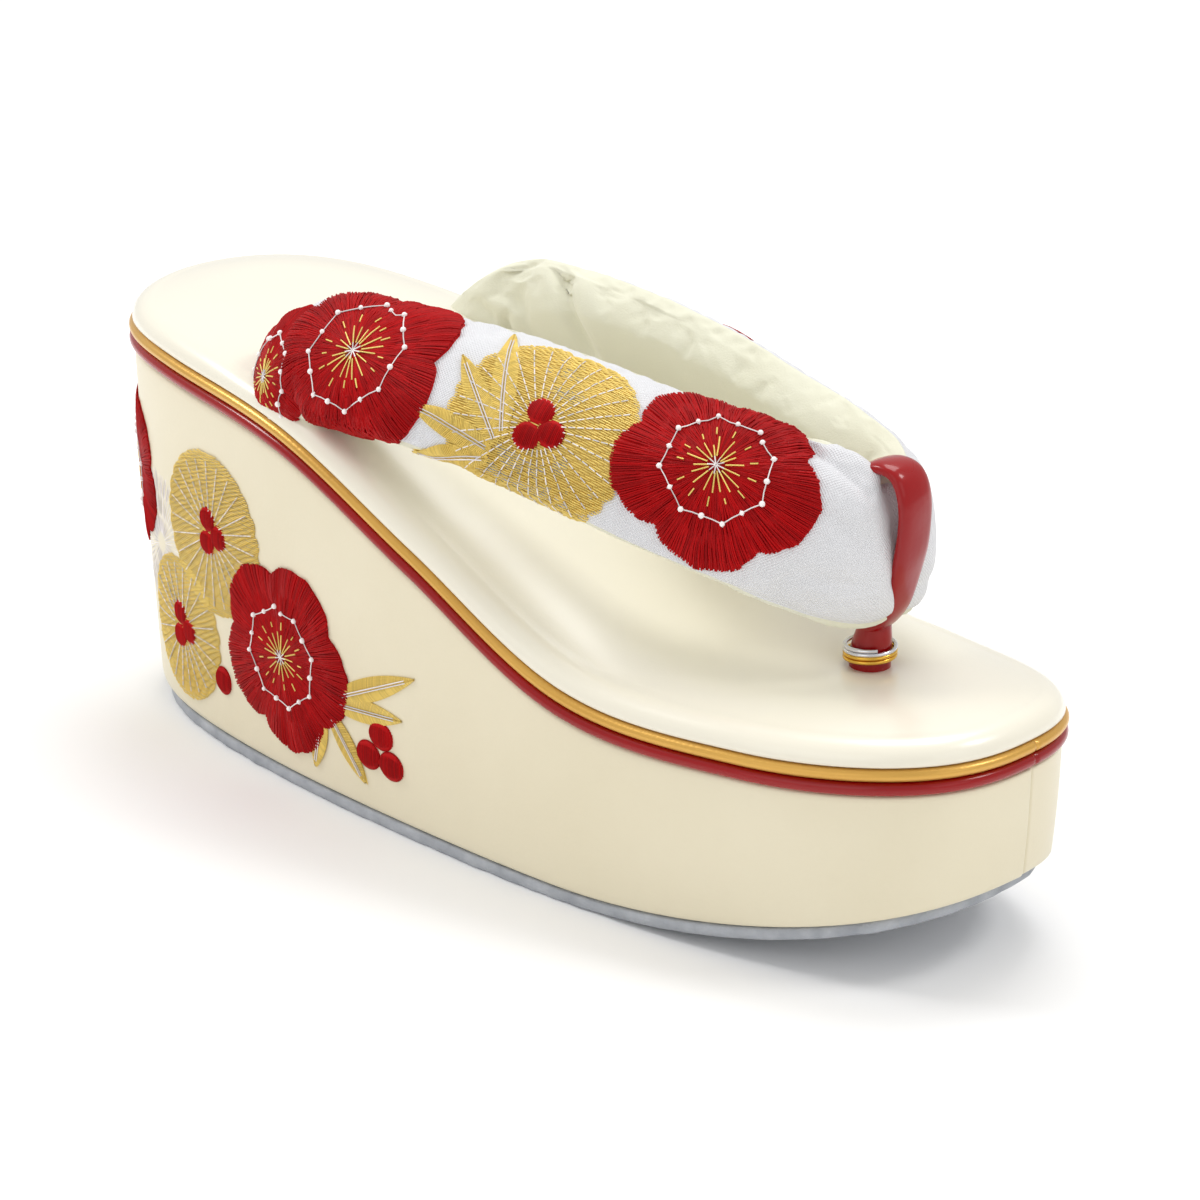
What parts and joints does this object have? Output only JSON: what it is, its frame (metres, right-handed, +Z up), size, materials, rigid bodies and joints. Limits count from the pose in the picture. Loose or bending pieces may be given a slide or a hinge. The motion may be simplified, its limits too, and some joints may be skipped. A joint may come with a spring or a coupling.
{
  "type": "zori sandal",
  "caption": "High-heeled zori sandal, right foot: cream wedge sole with red and gold piping, padded insole, and a wide padded cloth strap with a red toe thong.",
  "frame": {"origin": "on the floor, under the middle of the shoe's bounding box", "axes": "+Y from toe to heel, +Z up, +X to the big-toe (inner) side of this right shoe"},
  "size_m": [0.0844, 0.2416, 0.1083],
  "materials": {
    "outsole_rubber": "matt grey sheet, mottled",
    "wedge_cover": "cream synthetic leather, soft pearl sheen",
    "red_enamel": "glossy red enamel leather",
    "gold_piping": "metallic gold leather piping",
    "insole_leather": "cream synthetic leather, pearl gloss",
    "strap_cloth": "white woven cloth, embroidered, with a cream lining",
    "gold_wire": "polished wire"
  },
  "bodies": {
    "root": {"outsole": "outsole_rubber", "wedge_body": "wedge_cover", "red_piping": "red_enamel", "gold_piping": "gold_piping", "insole": "insole_leather", "hanao_strap": "strap_cloth", "front_thong": "red_enamel", "thong_ring": "gold_wire"}
  },
  "joints": []
}
